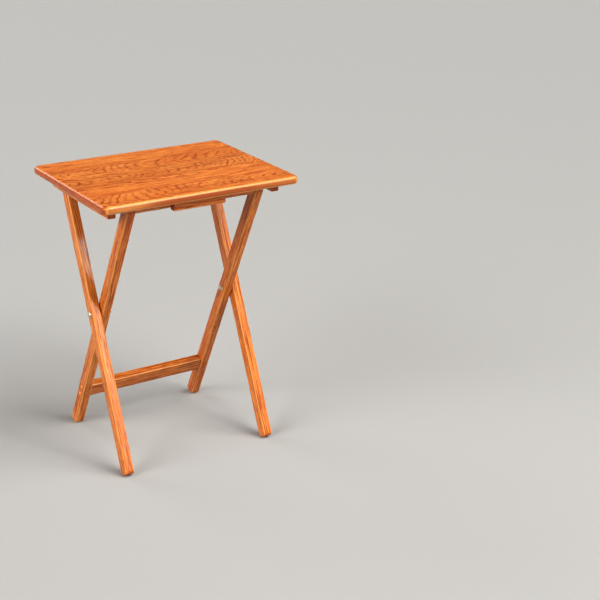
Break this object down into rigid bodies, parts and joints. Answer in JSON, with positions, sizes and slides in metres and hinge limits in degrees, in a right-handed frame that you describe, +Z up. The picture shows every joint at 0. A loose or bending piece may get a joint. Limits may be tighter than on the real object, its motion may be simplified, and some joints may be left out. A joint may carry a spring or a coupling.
{
  "type": "folding tray table",
  "caption": "Small rectangular folding table with a solid wood top on two crossed leg frames, pivoted at the rear of the top and resting on a round rail at the front.",
  "frame": {"origin": "on the floor under the middle of the table's bounding box, table standing open", "axes": "+X along the long side of the top, +Y towards the rear edge, where the top is pivoted, +Z up"},
  "size_m": [0.496, 0.368, 0.66],
  "materials": {
    "oak_top": "gloss honey-stained oak",
    "oak_frame": "gloss honey-stained oak",
    "oak_plug": "gloss honey-stained oak, end grain",
    "brassed_steel": "bright plated",
    "screw_steel": "plated"
  },
  "bodies": {
    "outer_frame": {"outer_leg_left": "oak_frame", "outer_leg_right": "oak_frame", "cross_bolt_left": "brassed_steel", "cross_bolt_right": "brassed_steel", "cross_nut_left": "brassed_steel", "cross_nut_right": "brassed_steel", "leg_washers": "brassed_steel", "nut_washers": "brassed_steel", "pivot_screw_left": "brassed_steel", "pivot_screw_right": "brassed_steel", "pivot_washers": "brassed_steel"},
    "inner_frame": {"inner_leg_left": "oak_frame", "inner_leg_right": "oak_frame", "top_rail": "oak_frame", "lower_stretcher": "oak_frame", "rail_screws": "screw_steel", "rail_plugs": "oak_plug", "stretcher_screws": "screw_steel", "stretcher_plugs": "oak_plug"},
    "top": {"top_board_1": "oak_top", "top_board_2": "oak_top", "top_board_3": "oak_top", "top_board_4": "oak_top", "top_board_5": "oak_top", "cleat_left": "oak_frame", "cleat_right": "oak_frame", "cleat_screws": "screw_steel", "stop_block": "oak_frame", "stop_block_screws": "screw_steel"}
  },
  "joints": [
    {"name": "leg_fold", "type": "hinge", "parent": "outer_frame", "child": "inner_frame", "pos_m": [0, 0, 0.344], "axis": [-1, 0, 0], "range_deg": [0, 49.6]},
    {"name": "top_pivot", "type": "hinge", "parent": "outer_frame", "child": "top", "pos_m": [0, 0.131, 0.6265], "axis": [-1, 0, 0], "range_deg": [0, 24.8]}
  ],
  "couplings": [
    {"joint": "top_pivot", "follows": "leg_fold", "ratio": 0.5}
  ]
}
